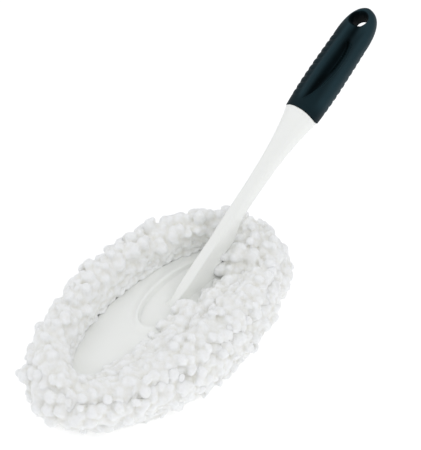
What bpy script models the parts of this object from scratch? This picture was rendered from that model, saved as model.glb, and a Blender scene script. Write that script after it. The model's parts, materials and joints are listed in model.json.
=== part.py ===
"""Hand-held chenille wash brush: a white moulded handle with a soft black grip, an oval head plate on a
foam pad, and a washable slip-on cover whose looped pile stands in rows round and under the head.

Metres, +Z up. The origin is the centre of the head's flat underside, +X runs along the head towards the
handle, and the brush is symmetric about Y = 0."""

import math

import bmesh
import bpy
from mathutils import Matrix, Vector

# Driving dimensions
GAP = 0.0003  # between neighbouring pieces
PLATE_HALF_LENGTH = 0.1095
PLATE_HALF_WIDTH = 0.0435
PLATE_EDGE_Z = 0.040  # top of the plate's lip
PLATE_CROWN = 0.0055  # how far the plate's middle stands above its lip
PLATE_WALL = 0.0025
PLATE_BOTTOM_Z = 0.030
LIP_HEIGHT = 0.0028
GROOVE_DEPTH = 0.0042  # how far the hem groove runs in under the lip
PLATE_RIB_PLACES = (-0.080, -0.055, -0.033)
PLATE_RIB_WIDTH = 0.002
PLATE_RIB_BOTTOM_Z = 0.0335
SEAT_CENTRE_X = 0.033  # oval scoop round the foot of the handle
SEAT_HALF_LENGTH = 0.057
SEAT_HALF_WIDTH = 0.023
SEAT_FLOOR_Z = 0.038
SEAT_SLOPE = 0.003  # how much wider the scoop is at the plate's crown than at its floor

HANDLE_TILT = math.radians(33.5)  # above the plate
GRIP_START = Vector((0.19192, 0.0, 0.15262))  # handle's centre line at the grip's lower end
GRIP_LENGTH = 0.1165
NOSE_LENGTH = 0.036  # the rounded end of the grip
STEM_LENGTH = 0.2077  # from the scoop's floor to the grip
TANG_LENGTH = 0.074
BLADE_WIDTH = 0.010
TOE_X = 0.010
HEEL_X = 0.092
HEEL_HEIGHT = 0.008
HEEL_STEPS = 7
FLANGE_Z = (0.0322, 0.0352)
FLANGE_CENTRE_X = 0.046
FLANGE_HALF_LENGTH = 0.042
FLANGE_HALF_WIDTH = 0.0165
HANG_HOLE_RADIUS = 0.0075
HANG_HOLE_FROM_TIP = 0.015
HANG_HOLE_TILT = math.radians(20)  # from upright, towards the head

SCREW_SPREAD_X = (-0.026, 0.028)  # from the flange's centre
SCREW_SPREAD_Y = 0.0105
SCREW_HEAD_RADIUS = 0.0048
SCREW_HEAD_HEIGHT = 0.0018
SCREW_SHANK_RADIUS = 0.0014
SCREW_SHANK_LENGTH = 0.0050
BOSS_RADIUS = 0.0032

FOAM_Z = (0.0235, 0.0297)
FOAM_INSET = 0.006
BACKING_Z = (0.0220, 0.0232)
BAND_OFFSETS = (0.0010, 0.0022)  # side band of the cover, measured outwards from the plate's outline
BAND_TOP_Z = 0.0365

OVAL_SEGMENTS = 44
SECTION_SEGMENTS = 20

# Sections of the pile rows: (offset outwards from the plate's outline, height)
PILE_ROWS = {
    "rim_pile_inner_row": (
        (0.0012, 0.0370), (0.0100, 0.0370), (0.0106, 0.0440), (0.0080, 0.0498), (0.0034, 0.0498),
        (0.0012, 0.0450),
    ),
    "rim_pile_crest": (
        (0.0040, 0.0502), (0.0300, 0.0504), (0.0335, 0.0580), (0.0290, 0.0670), (0.0200, 0.0720),
        (0.0110, 0.0700), (0.0050, 0.0610),
    ),
    "side_pile_upper": (
        (0.0026, 0.0240), (0.0385, 0.0240), (0.0418, 0.0320), (0.0420, 0.0410), (0.0370, 0.0500),
        (0.0112, 0.0498), (0.0104, 0.0366), (0.0026, 0.0366),
    ),
    "side_pile_lower": (
        (0.0093, 0.0010), (0.0240, 0.0020), (0.0330, 0.0080), (0.0383, 0.0170), (0.0384, 0.0236),
        (0.0093, 0.0236),
    ),
    "underside_pile_outer": (
        (-0.0140, 0.0), (0.0080, 0.0), (0.0089, 0.0020), (0.0089, 0.0217), (-0.0140, 0.0217),
    ),
}
CENTRE_PILE_OFFSET = -0.0144

ALONG = Vector((math.cos(HANDLE_TILT), 0.0, math.sin(HANDLE_TILT)))  # up the handle
ABOVE = Vector((-math.sin(HANDLE_TILT), 0.0, math.cos(HANDLE_TILT)))  # out of the handle's top face
SIDEWAYS = Vector((0.0, 1.0, 0.0))


def clear_scene():
    for obj in list(bpy.data.objects):
        bpy.data.objects.remove(obj, do_unlink=True)


def make_material(name, colour, roughness, metallic=0.0):
    material = bpy.data.materials.new(name)
    material.use_nodes = True
    shader = material.node_tree.nodes["Principled BSDF"]
    shader.inputs["Base Color"].default_value = (*colour, 1.0)
    shader.inputs["Roughness"].default_value = roughness
    shader.inputs["Metallic"].default_value = metallic
    material.diffuse_color = (*colour, 1.0)
    return material


def add_object(name, rings, closed_loop=False):
    """A skin over rings of points, capped at both ends, or joined end to end when closed_loop."""
    mesh = bmesh.new()
    rows = [[mesh.verts.new(point) for point in ring] for ring in rings]
    pairs = list(zip(rows, rows[1:] + rows[:1])) if closed_loop else list(zip(rows, rows[1:]))
    for lower, upper in pairs:
        count = len(lower)
        for i in range(count):
            j = (i + 1) % count
            mesh.faces.new((lower[i], lower[j], upper[j], upper[i]))
    if not closed_loop:
        mesh.faces.new(list(reversed(rows[0])))
        mesh.faces.new(rows[-1])
    bmesh.ops.recalc_face_normals(mesh, faces=mesh.faces)
    data = bpy.data.meshes.new(name)
    mesh.to_mesh(data)
    mesh.free()
    data.shade_smooth()
    data.set_sharp_from_angle(angle=math.radians(35))
    obj = bpy.data.objects.new(name, data)
    bpy.context.scene.collection.objects.link(obj)
    return obj


def combine(obj, other, operation):
    """Cuts or joins another body, which then stays in the scene as a hidden guide."""
    modifier = obj.modifiers.new(other.name, "BOOLEAN")
    modifier.operation = operation
    modifier.solver = "EXACT"
    modifier.object = other
    other.hide_render = True
    other.display_type = "WIRE"


def oval(half_length, half_width, height, centre_x=0.0):
    angles = (2 * math.pi * i / OVAL_SEGMENTS for i in range(OVAL_SEGMENTS))
    return [Vector((centre_x + half_length * math.cos(a), half_width * math.sin(a), height)) for a in angles]


def outline(offset, height):
    """The plate's outline, moved outwards by an offset."""
    return oval(PLATE_HALF_LENGTH + offset, PLATE_HALF_WIDTH + offset, height)


def oval_prism(name, half_length, half_width, low, high, centre_x=0.0, spread=0.0):
    bottom = oval(half_length, half_width, low, centre_x)
    return add_object(name, [bottom, oval(half_length + spread, half_width + spread, high, centre_x)])


def oval_ring(name, profile):
    """A closed section carried round the plate's outline."""
    return add_object(name, [outline(offset, height) for offset, height in profile], closed_loop=True)


def turned(name, centre, profile, segments=16):
    """An upright turned piece: profile is (radius, height) from the bottom up."""
    rings = []
    for radius, height in profile:
        angles = (2 * math.pi * i / segments for i in range(segments))
        rings.append([Vector((centre[0] + radius * math.cos(a), centre[1] + radius * math.sin(a), height))
                      for a in angles])
    return add_object(name, rings)


def upright_rod(name, centre, radius, low, high, segments=16):
    return turned(name, centre, ((radius, low), (radius, high)), segments)


def handle_point(distance, sideways=0.0, above=0.0):
    """A point by its distance up the handle from the scoop's floor."""
    return GRIP_START + ALONG * (distance - STEM_LENGTH) + SIDEWAYS * sideways + ABOVE * above


def handle_section(distance, width, depth, squareness=2.4, lift=0.0):
    """A rounded section across the handle. Squareness 2 is an ellipse, and more is squarer."""
    points = []
    for i in range(SECTION_SEGMENTS):
        angle = 2 * math.pi * (i + 0.5) / SECTION_SEGMENTS
        across = math.copysign(abs(math.cos(angle)) ** (2 / squareness), math.cos(angle)) * width / 2
        upward = math.copysign(abs(math.sin(angle)) ** (2 / squareness), math.sin(angle)) * depth / 2
        points.append(handle_point(distance, across, upward + lift))
    return points


def side_slab(name, profile, width):
    """A flat outline in the plane of symmetry, given thickness to both sides."""
    rings = [[Vector((x, y, z)) for x, z in profile] for y in (-width / 2, width / 2)]
    return add_object(name, rings)


def blade_profile():
    """Side outline of the foot: up the ridge from the toe, back under the stem and round the heel."""
    base = FLANGE_Z[0] + 0.001
    profile = [(TOE_X, base), (TOE_X, SEAT_FLOOR_Z), (TOE_X + 0.006, SEAT_FLOOR_Z + 0.0052)]
    for distance, rise in ((0.045, 0.0069), (0.062, 0.0063), (0.090, 0.0058), (0.122, 0.0050)):
        ridge = handle_point(distance, above=rise)
        profile.append((ridge.x, ridge.z))
    tail = handle_point(0.122, above=-0.0050)
    bend_z = tail.z - (tail.x - HEEL_X) * math.tan(HANDLE_TILT)
    heel_z = SEAT_FLOOR_Z + HEEL_HEIGHT
    for i in range(HEEL_STEPS + 1):
        t = i / HEEL_STEPS
        profile.append(((1 - t) ** 2 * tail.x + (1 - (1 - t) ** 2) * HEEL_X,
                        (1 - t) ** 2 * tail.z + 2 * t * (1 - t) * bend_z + t * t * heel_z))
    return profile + [(HEEL_X, base)]


def tang_sections(clearance=0.0):
    start = STEM_LENGTH
    sizes = ((0.0, 0.023, 0.0170), (0.020, 0.022, 0.0160), (TANG_LENGTH + clearance, 0.018, 0.0125))
    return [handle_section(start + along, w + 2 * clearance, d + 2 * clearance, 2.6) for along, w, d in sizes]


def screw_places():
    return [(FLANGE_CENTRE_X + dx, y) for dx in SCREW_SPREAD_X for y in (SCREW_SPREAD_Y, -SCREW_SPREAD_Y)]


def make_handle_stem():
    sizes = (
        (0.038, 0.0080, 0.0080, 3.0), (0.070, 0.0115, 0.0142, 3.6), (0.100, 0.0130, 0.0152, 3.6),
        (0.126, 0.0135, 0.0158, 3.4), (0.153, 0.0158, 0.0175, 3.0), (0.175, 0.0200, 0.0200, 2.7),
        (0.195, 0.0270, 0.0235, 2.4), (STEM_LENGTH, 0.0332, 0.0264, 2.3),
    )
    stem = add_object("handle_stem", [handle_section(*size) for size in sizes] + tang_sections())
    blade = side_slab("blade_guide", blade_profile(), BLADE_WIDTH)
    flange = oval_prism("flange_guide", FLANGE_HALF_LENGTH, FLANGE_HALF_WIDTH, *FLANGE_Z, FLANGE_CENTRE_X)
    combine(stem, blade, "UNION")
    combine(stem, flange, "UNION")
    for i, place in enumerate(screw_places(), 1):
        hole = upright_rod(f"flange_hole_guide_{i}", place, BOSS_RADIUS + GAP, PLATE_BOTTOM_Z, SEAT_FLOOR_Z)
        combine(stem, hole, "DIFFERENCE")
    return stem


def grip_sections():
    start = STEM_LENGTH + GAP
    sizes = [(0.0, 0.0342, 0.0272), (0.012, 0.0356, 0.0280), (0.030, 0.0366, 0.0284), (0.055, 0.0360, 0.0276)]
    for share in (0.0, 0.3, 0.55, 0.75, 0.88, 0.96, 0.995):
        fall = (1 - share**2.5) ** (1 / 2.1)
        sizes.append((GRIP_LENGTH - NOSE_LENGTH * (1 - share), 0.0348 * fall, 0.0256 * (0.25 + 0.75 * fall)))
    return [handle_section(start + along, w, d, 2.3) for along, w, d in sizes]


def make_grip_sleeve():
    grip = add_object("grip_sleeve", grip_sections())
    pocket = add_object("tang_pocket_guide", [handle_section(STEM_LENGTH - 0.004, 0.0236, 0.0176, 2.6)]
                        + tang_sections(GAP))
    combine(grip, pocket, "DIFFERENCE")
    centre = handle_point(STEM_LENGTH + GRIP_LENGTH - HANG_HOLE_FROM_TIP)
    hole = upright_rod("hang_hole_guide", (0, 0), HANG_HOLE_RADIUS, -0.03, 0.03, 24)
    hole.matrix_world = Matrix.Translation(centre) @ Matrix.Rotation(-HANG_HOLE_TILT, 4, "Y")
    combine(grip, hole, "DIFFERENCE")
    thumb = add_ellipsoid("thumb_recess_guide", handle_point(STEM_LENGTH + 0.048, above=0.0165),
                          (0.034, 0.0080, 0.0045))
    combine(grip, thumb, "DIFFERENCE")
    scoop = add_ellipsoid("hole_scoop_guide", handle_point(STEM_LENGTH + 0.097, above=0.0160),
                          (0.019, 0.0088, 0.0060))
    combine(grip, scoop, "DIFFERENCE")
    return grip


def add_ellipsoid(name, centre, half_axes):
    """Half axes up the handle, sideways, and out of its top face."""
    mesh = bmesh.new()
    bmesh.ops.create_uvsphere(mesh, u_segments=24, v_segments=12, radius=1.0)
    data = bpy.data.meshes.new(name)
    mesh.to_mesh(data)
    mesh.free()
    obj = bpy.data.objects.new(name, data)
    bpy.context.scene.collection.objects.link(obj)
    turn = Matrix((ALONG, SIDEWAYS, ABOVE)).transposed().to_4x4()
    obj.matrix_world = Matrix.Translation(centre) @ turn @ Matrix.Diagonal((*half_axes, 1.0))
    return obj


def crowned_rings(share_of_outline, drop, rings=6):
    """Rings of the plate's crown from the rim to the middle, lowered by drop."""
    found = []
    for i in range(rings):
        share = share_of_outline * (1 - i / rings)
        height = PLATE_EDGE_Z + PLATE_CROWN * (1 - share**2) - drop
        found.append(oval(PLATE_HALF_LENGTH * share, PLATE_HALF_WIDTH * share, height))
    return found


def crown_rib(name, x):
    """A cross rib that hangs from the plate's crown."""
    reach = PLATE_HALF_WIDTH * math.sqrt(1 - (x / PLATE_HALF_LENGTH) ** 2) - 0.008
    profile = [(-reach, PLATE_RIB_BOTTOM_Z), (reach, PLATE_RIB_BOTTOM_Z)]
    for i in range(9):
        y = reach * (1 - i / 4)
        share = (x / PLATE_HALF_LENGTH) ** 2 + (y / PLATE_HALF_WIDTH) ** 2
        profile.append((y, PLATE_EDGE_Z + PLATE_CROWN * (1 - share) - PLATE_WALL / 2))
    half = PLATE_RIB_WIDTH / 2
    return add_object(name, [[Vector((x + dx, y, z)) for y, z in profile] for dx in (-half, half)])


def make_head_plate():
    groove_top = PLATE_EDGE_Z - LIP_HEIGHT
    skirt = [outline(-0.0012, PLATE_BOTTOM_Z), outline(-0.0012, PLATE_BOTTOM_Z + 0.0012),
             outline(-GROOVE_DEPTH, PLATE_BOTTOM_Z + 0.0016), outline(-GROOVE_DEPTH, groove_top),
             outline(-0.0004, groove_top), outline(0.0, groove_top + 0.0006),
             outline(0.0, PLATE_EDGE_Z - 0.0008)]
    plate = add_object("head_plate", skirt + crowned_rings(0.99, 0.0))
    hollow_walls = [outline(-GROOVE_DEPTH - PLATE_WALL, PLATE_BOTTOM_Z - 0.002),
                    outline(-GROOVE_DEPTH - PLATE_WALL, PLATE_EDGE_Z - PLATE_WALL)]
    hollow = add_object("plate_hollow_guide", hollow_walls + crowned_rings(0.90, PLATE_WALL, 5))
    under_seat = oval_prism("seat_wall_guide", SEAT_HALF_LENGTH + PLATE_WALL, SEAT_HALF_WIDTH + PLATE_WALL,
                            SEAT_FLOOR_Z - PLATE_WALL, 0.050, SEAT_CENTRE_X, SEAT_SLOPE)
    combine(hollow, under_seat, "DIFFERENCE")
    combine(plate, hollow, "DIFFERENCE")
    seat = oval_prism("seat_guide", SEAT_HALF_LENGTH, SEAT_HALF_WIDTH, SEAT_FLOOR_Z, 0.050, SEAT_CENTRE_X,
                      SEAT_SLOPE)
    combine(plate, seat, "DIFFERENCE")
    for i, x in enumerate(PLATE_RIB_PLACES, 1):
        combine(plate, crown_rib(f"plate_rib_guide_{i}", x), "UNION")
    for i, place in enumerate(screw_places(), 1):
        boss = upright_rod(f"boss_guide_{i}", place, BOSS_RADIUS, FLANGE_Z[0] + GAP, SEAT_FLOOR_Z - 0.001)
        combine(plate, boss, "UNION")
        pilot_top = FLANGE_Z[0] + SCREW_SHANK_LENGTH
        pilot = upright_rod(f"pilot_guide_{i}", place, SCREW_SHANK_RADIUS + GAP, PLATE_BOTTOM_Z, pilot_top)
        combine(plate, pilot, "DIFFERENCE")
    slot_ends = [(TOE_X - GAP, PLATE_BOTTOM_Z), (HEEL_X + GAP, PLATE_BOTTOM_Z)]
    slot_ends += [(x, PLATE_EDGE_Z + PLATE_CROWN) for x, _ in reversed(slot_ends)]
    slot = side_slab("blade_slot_guide", slot_ends, BLADE_WIDTH + 2 * GAP)
    combine(plate, slot, "DIFFERENCE")
    return plate


def make_foot_screws():
    """Washer-head screws driven up through the foot flange into the plate's bosses."""
    top = FLANGE_Z[0] - GAP / 2
    profile = (
        (SCREW_HEAD_RADIUS * 0.7, top - SCREW_HEAD_HEIGHT), (SCREW_HEAD_RADIUS, top - SCREW_HEAD_HEIGHT / 2),
        (SCREW_HEAD_RADIUS, top), (SCREW_SHANK_RADIUS, top),
        (SCREW_SHANK_RADIUS, top + SCREW_SHANK_LENGTH * 0.8),
        (SCREW_SHANK_RADIUS * 0.3, top + SCREW_SHANK_LENGTH),
    )
    return [turned(f"foot_screw_{i}", place, profile) for i, place in enumerate(screw_places(), 1)]


def make_foam_pad():
    return oval_prism("foam_pad", PLATE_HALF_LENGTH - FOAM_INSET, PLATE_HALF_WIDTH - FOAM_INSET, *FOAM_Z)


def make_hem():
    """A folded tunnel of cloth, open along its lower edge, with a flat elastic inside."""
    outer, inner, wall = 0.0007, -0.0038, 0.0007
    low, high = 0.0322, 0.0369
    tunnel = oval_ring("hem_tunnel", (
        (inner, low), (inner + wall, low), (inner + wall, high - wall), (outer - wall, high - wall),
        (outer - wall, low), (outer, low), (outer, high), (inner, high)))
    lead = wall + GAP
    elastic = oval_ring("hem_elastic", (
        (inner + lead, low + GAP), (outer - lead, low + GAP), (outer - lead, high - lead),
        (inner + lead, high - lead)))
    return tunnel, elastic


def make_cover_cloth():
    inside, outside = BAND_OFFSETS
    backing = oval_prism("cover_backing", PLATE_HALF_LENGTH + outside, PLATE_HALF_WIDTH + outside, *BACKING_Z)
    low = BACKING_Z[1] + GAP
    section = ((inside, low), (outside, low), (outside, BAND_TOP_Z), (inside, BAND_TOP_Z))
    band = oval_ring("cover_side_band", section)
    return backing, band


def make_pile():
    rows = [oval_ring(name, profile) for name, profile in PILE_ROWS.items()]
    centre = oval_prism("underside_pile_centre", PLATE_HALF_LENGTH + CENTRE_PILE_OFFSET,
                        PLATE_HALF_WIDTH + CENTRE_PILE_OFFSET, 0.0, 0.0217)
    return rows + [centre]


def add_empty(name, location):
    empty = bpy.data.objects.new(name, None)
    empty.location = location
    bpy.context.scene.collection.objects.link(empty)
    return empty


def dress(objects, material, parent):
    for obj in objects:
        obj.data.materials.append(material)
        obj.parent = parent


def main():
    clear_scene()
    white_plastic = make_material("white_polypropylene", (0.86, 0.87, 0.86), 0.35)
    grip_rubber = make_material("black_grip_rubber", (0.012, 0.014, 0.018), 0.55)
    screw_steel = make_material("zinc_plated_steel", (0.62, 0.62, 0.60), 0.35, 1.0)
    foam = make_material("grey_eva_foam", (0.30, 0.30, 0.31), 0.90)
    cloth = make_material("white_base_cloth", (0.80, 0.80, 0.78), 0.90)
    elastic_white = make_material("white_elastic", (0.74, 0.74, 0.72), 0.80)
    chenille = make_material("white_chenille", (0.90, 0.90, 0.89), 0.95)

    cover = add_empty("cover", (0.0, 0.0, 0.0))
    brush_frame = add_empty("brush_frame", (0.0, 0.0, 0.0))
    brush_frame.parent = cover

    dress([make_handle_stem(), make_head_plate()], white_plastic, brush_frame)
    dress([make_grip_sleeve()], grip_rubber, brush_frame)
    dress(make_foot_screws(), screw_steel, brush_frame)
    dress([make_foam_pad()], foam, brush_frame)
    hem, elastic = make_hem()
    dress([hem, *make_cover_cloth()], cloth, cover)
    dress([elastic], elastic_white, cover)
    dress(make_pile(), chenille, cover)


main()
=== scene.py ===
import json
import math
import random

import bmesh
import bpy
import numpy as np
from bpy.props import FloatProperty, FloatVectorProperty, IntProperty, PointerProperty
from mathutils import Matrix, Vector

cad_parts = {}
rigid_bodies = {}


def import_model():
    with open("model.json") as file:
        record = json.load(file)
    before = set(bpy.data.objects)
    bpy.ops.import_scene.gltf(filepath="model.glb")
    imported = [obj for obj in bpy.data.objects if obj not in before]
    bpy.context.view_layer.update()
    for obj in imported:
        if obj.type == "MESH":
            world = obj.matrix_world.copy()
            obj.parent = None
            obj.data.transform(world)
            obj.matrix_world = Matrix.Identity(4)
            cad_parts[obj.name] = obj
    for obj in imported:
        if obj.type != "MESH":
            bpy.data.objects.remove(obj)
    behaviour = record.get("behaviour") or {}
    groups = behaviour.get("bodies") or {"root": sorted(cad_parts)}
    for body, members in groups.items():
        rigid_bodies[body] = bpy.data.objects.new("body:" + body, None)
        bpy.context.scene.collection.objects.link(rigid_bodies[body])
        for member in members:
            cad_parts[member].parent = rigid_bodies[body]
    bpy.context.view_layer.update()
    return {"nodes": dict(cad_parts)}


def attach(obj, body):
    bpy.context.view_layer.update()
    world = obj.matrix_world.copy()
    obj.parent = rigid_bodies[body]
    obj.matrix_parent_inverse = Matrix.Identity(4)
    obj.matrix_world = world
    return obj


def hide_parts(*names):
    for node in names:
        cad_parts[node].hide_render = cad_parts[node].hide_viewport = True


bl_info = {
    "name": "Chenille Wash Brush",
    "version": (1, 0, 0),
    "blender": (4, 5, 0),
    "location": "3D View > Sidebar > Wash Brush",
    "description": "Builds the handle, grip, head plate, foam pad and looped slip-on cover of a wash brush",
    "category": "Object",
}

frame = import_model()

# The head plate's outline is an ellipse, and rows on the cover are offsets outwards from it. Metres.
PLATE_A, PLATE_B = 0.1095, 0.0435
PLATE_EDGE_Z, PLATE_CROWN, PLATE_WALL, PLATE_BOTTOM_Z = 0.040, 0.0055, 0.0025, 0.030
GROOVE_DEPTH, GROOVE_TOP_Z = 0.0042, 0.0372
SEAT_X, SEAT_A, SEAT_B, SEAT_FLOOR_Z = 0.033, 0.057, 0.023, 0.038
FLANGE_X, FLANGE_A, FLANGE_B, FLANGE_Z = 0.046, 0.042, 0.0165, (0.0322, 0.0352)
BOSS_PLACES = [(FLANGE_X + dx, dy) for dx in (-0.026, 0.028) for dy in (-0.0105, 0.0105)]
BOSS_RADIUS = 0.0032
RIB_PLACES, RIB_BOTTOM_Z = (-0.080, -0.055, -0.033), 0.0335
TOE_X, HEEL_X, HEEL_HEIGHT, BLADE_WIDTH = 0.010, 0.092, 0.008, 0.0100
FOAM_INSET, FOAM_Z = 0.006, (0.0235, 0.0297)
CLOTH_Z, CLOTH_THICKNESS, SEAM_Z = 0.0226, 0.0008, (0.0300, 0.0318)

TILT = math.radians(33.5)  # the handle's rise above the plate
GRIP_START = np.array((0.19192, 0.0, 0.15262))
STEM_LENGTH, GRIP_LENGTH, NOSE_LENGTH, TANG_LENGTH = 0.2077, 0.1165, 0.036, 0.074
ALONG = np.array((math.cos(TILT), 0.0, math.sin(TILT)))
ABOVE = np.array((-math.sin(TILT), 0.0, math.cos(TILT)))
SIDEWAYS = np.array((0.0, 1.0, 0.0))
HOLE_RADIUS, HOLE_FROM_TIP, HOLE_TILT, HOLE_LIP = 0.0075, 0.015, math.radians(20), 0.0024
HOLE_AXIS = np.array((-math.sin(HOLE_TILT), 0, math.cos(HOLE_TILT)))
HOLE_CENTRE = GRIP_START + ALONG * (GRIP_LENGTH - HOLE_FROM_TIP)
HALF_WIDTH, HALF_DEPTH = 0.0175, 0.0135  # of the sleeve, about
GAP = 0.0003  # between the sleeve and the tang


def linear(colour):
    """An sRGB hex colour as linear RGB."""
    parts = [int(colour[i:i + 2], 16) / 255 for i in (1, 3, 5)]
    return tuple(p / 12.92 if p <= 0.04045 else ((p + 0.055) / 1.055) ** 2.4 for p in parts)


def colour_prop(name, description, colour):
    return FloatVectorProperty(name=name, description=description, subtype="COLOR", size=3, min=0, max=1,
                               default=linear(colour))


def length_prop(name, description, default):
    return FloatProperty(name=name, description=description, default=default, subtype="DISTANCE",
                         unit="LENGTH", precision=5)


class HandleSettings(bpy.types.PropertyGroup):
    plastic: colour_prop("Plastic", "Colour of the moulded handle and plate", "#F6F7F4")
    # Painted light: the rubber colour stays in the hollows and the hole as painted shade, and the dust colour
    # is both dust patches and a painted highlight on the lit, proud skin.
    rubber: colour_prop("Rubber", "Colour of the grip sleeve in its clean hollows", "#04090B")
    dust_and_highlight: colour_prop("Dust", "Colour of the grip sleeve where dust and palms have dulled it", "#172D34")
    rib_pitch: length_prop("Rib pitch", "Distance between the finger ribs of the grip", 0.0068)
    rib_height: length_prop("Rib height", "How far a finger rib stands out", 0.0009)
    recess_depth: length_prop("Thumb recess", "Depth of the leaf-shaped thumb recess", 0.0032)


class CoverSettings(bpy.types.PropertyGroup):
    cloth: colour_prop("Base cloth", "Colour of the knitted base cloth", "#ECECE8")
    foam: colour_prop("Foam", "Colour of the foam pad", "#77797C")
    puckers: IntProperty(name="Puckers", description="Gathers round the hem", default=132, min=12)
    stitch_spacing: length_prop("Stitch spacing", "Distance between stitches of the hem seam", 0.0042)


class PileSettings(bpy.types.PropertyGroup):
    pile: colour_prop("Pile", "Colour of the chenille tips", "#F5F6F6")
    # Painted shade: the root colour is the darker, warmer shade painted into the hollows between the loops.
    root: colour_prop("Pile root", "Colour deep between the loops", "#ECEBE5")
    spacing: length_prop("Spacing", "Distance between neighbouring loops in a row", 0.0086)
    thickness: length_prop("Thickness", "Radius of a loop", 0.0056)
    sway: FloatProperty(name="Sway", description="How far a loop leans at random, as a share of its length",
                        default=0.30, min=0, max=1)
    lump_height: length_prop("Lump height", "How far the tufts stand out of a loop", 0.0019)
    lump_size: length_prop("Lump size", "Width of a tuft", 0.0042)
    grain: length_prop("Grain", "Finest step of the pile's surface", 0.0013)
    seed: IntProperty(name="Seed", description="Seed for everything random in the pile", default=7)


class StageSettings(bpy.types.PropertyGroup):
    floor: colour_prop("Floor", "Colour of the floor", "#FFFFFF")
    key_power: FloatProperty(name="Key light", description="Power of the big soft light", default=3.8,
                             unit="POWER")
    fill_power: FloatProperty(name="Fill light", description="Power of the light opposite the key",
                              default=4.8, unit="POWER")
    sky: FloatProperty(name="Sky", description="Strength of the even light all round", default=0.62)


def feed(tree, node, values):
    """Fills a node's inputs. Values maps input names or numbers to a socket to link or a value to set."""
    for key, value in values.items():
        if isinstance(value, bpy.types.NodeSocket):
            tree.links.new(value, node.inputs[key])
        else:
            node.inputs[key].default_value = value
    return node


def add_node(tree, kind, values=None, **settings):
    """Adds a node with its settings, and fills its inputs."""
    made = tree.nodes.new(kind)
    for key, value in settings.items():
        setattr(made, key, value)
    return feed(tree, made, values or {})


def start_material(name, colour, roughness, **even):
    """A material with its shader's even values set, ready for its pattern nodes."""
    material = bpy.data.materials.new(name)
    material.use_nodes = True
    material.diffuse_color = (*colour, 1)
    tree = material.node_tree
    feed(tree, tree.nodes["Principled BSDF"], {
        "Base Color": (*colour, 1), "Roughness": roughness,
        **{key.replace("_", " "): value for key, value in even.items()}})
    return material, tree, add_node(tree, "ShaderNodeTexCoord").outputs["Object"]


def end_material(material, low, high, share, height, depth, strength, **patterned):
    """Mixes two colours by a pattern, adds the relief, and links whatever else follows a pattern."""
    tree = material.node_tree
    mix = add_node(tree, "ShaderNodeMix", {0: share, 6: (*low, 1), 7: (*high, 1)}, data_type="RGBA")
    bump = add_node(tree, "ShaderNodeBump", {"Height": height, "Distance": depth, "Strength": strength})
    feed(tree, tree.nodes["Principled BSDF"], {
        "Base Color": mix.outputs[2], "Normal": bump.outputs[0],
        **{key.replace("_", " "): value for key, value in patterned.items()}})
    return material


def polypropylene():
    # Injection-moulded polypropylene: milky white, soft satin gloss, light glows a little in the thin parts,
    # and flow marks leave slow changes of gloss.
    colour = bpy.context.scene.brush_handle.plastic
    material, tree, place = start_material(
        "moulded_white_polypropylene", colour, 0.34, IOR=1.49, Subsurface_Weight=0.10,
        Subsurface_Radius=(0.004, 0.004, 0.0036), Subsurface_Scale=0.5)
    flow = add_node(tree, "ShaderNodeTexNoise", {"Vector": place, "Scale": 28, "Detail": 3}).outputs[0]
    gloss = add_node(tree, "ShaderNodeMapRange", {0: flow, 3: 0.28, 4: 0.42}).outputs[0]
    # Spark-eroded tool grain, really about 0.1 mm, drawn at 0.4 mm so that it shows.
    grain = add_node(tree, "ShaderNodeTexNoise", {"Vector": place, "Scale": 1 / 0.0004, "Detail": 1})
    return end_material(material, colour, linear("#F2F3EF"), flow, grain.outputs[0], 0.00002, 0.35,
                        Roughness=gloss)


def grip_rubber():
    # Overmoulded thermoplastic rubber: blue-black, matt with a broad soft sheen, fine sandy grain, and dust
    # that lightens it in slow patches.
    # Light is painted in too: painted shade keeps the hollows and the hole dark, and a painted highlight
    # lightens the proud skin of the lit side.
    settings = bpy.context.scene.brush_handle
    material, tree, place = start_material(
        "overmoulded_black_grip_rubber", settings.rubber, 0.52, IOR=1.5, Specular_IOR_Level=0.22,
        Specular_Tint=(0.72, 0.93, 1.0, 1))
    dust_and_highlight = add_node(tree, "ShaderNodeTexNoise", {"Vector": place, "Scale": 45, "Detail": 4}).outputs[0]
    # Painted shade: the hollows and the hole keep the dark rubber colour and take little reflection. Proud
    # parts, lit ones most, are painted lighter as a painted highlight, mixed with random dust patches.
    proud = add_node(tree, "ShaderNodeAttribute", attribute_name="proud").outputs["Fac"]
    dust_and_painted_light = add_node(tree, "ShaderNodeMath", {0: dust_and_highlight, 1: 0.5, 2: proud}, operation="MULTIPLY_ADD").outputs[0]
    share = add_node(tree, "ShaderNodeMapRange", {0: dust_and_painted_light, 1: 0.2, 2: 1.3}).outputs[0]
    sheen = add_node(tree, "ShaderNodeMapRange", {0: proud, 3: 0.02, 4: 0.17}).outputs[0]
    gloss = add_node(tree, "ShaderNodeMapRange", {0: dust_and_highlight, 3: 0.44, 4: 0.60}).outputs[0]
    # Sandy tool texture, really 0.15 mm, drawn at 0.8 mm so that it shows.
    sand = add_node(tree, "ShaderNodeTexNoise", {"Vector": place, "Scale": 1 / 0.0008, "Detail": 3})
    return end_material(material, settings.rubber, settings.dust_and_highlight, share, sand.outputs[0], 0.00016, 0.9,
                        Specular_IOR_Level=sheen, Roughness=gloss)


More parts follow.
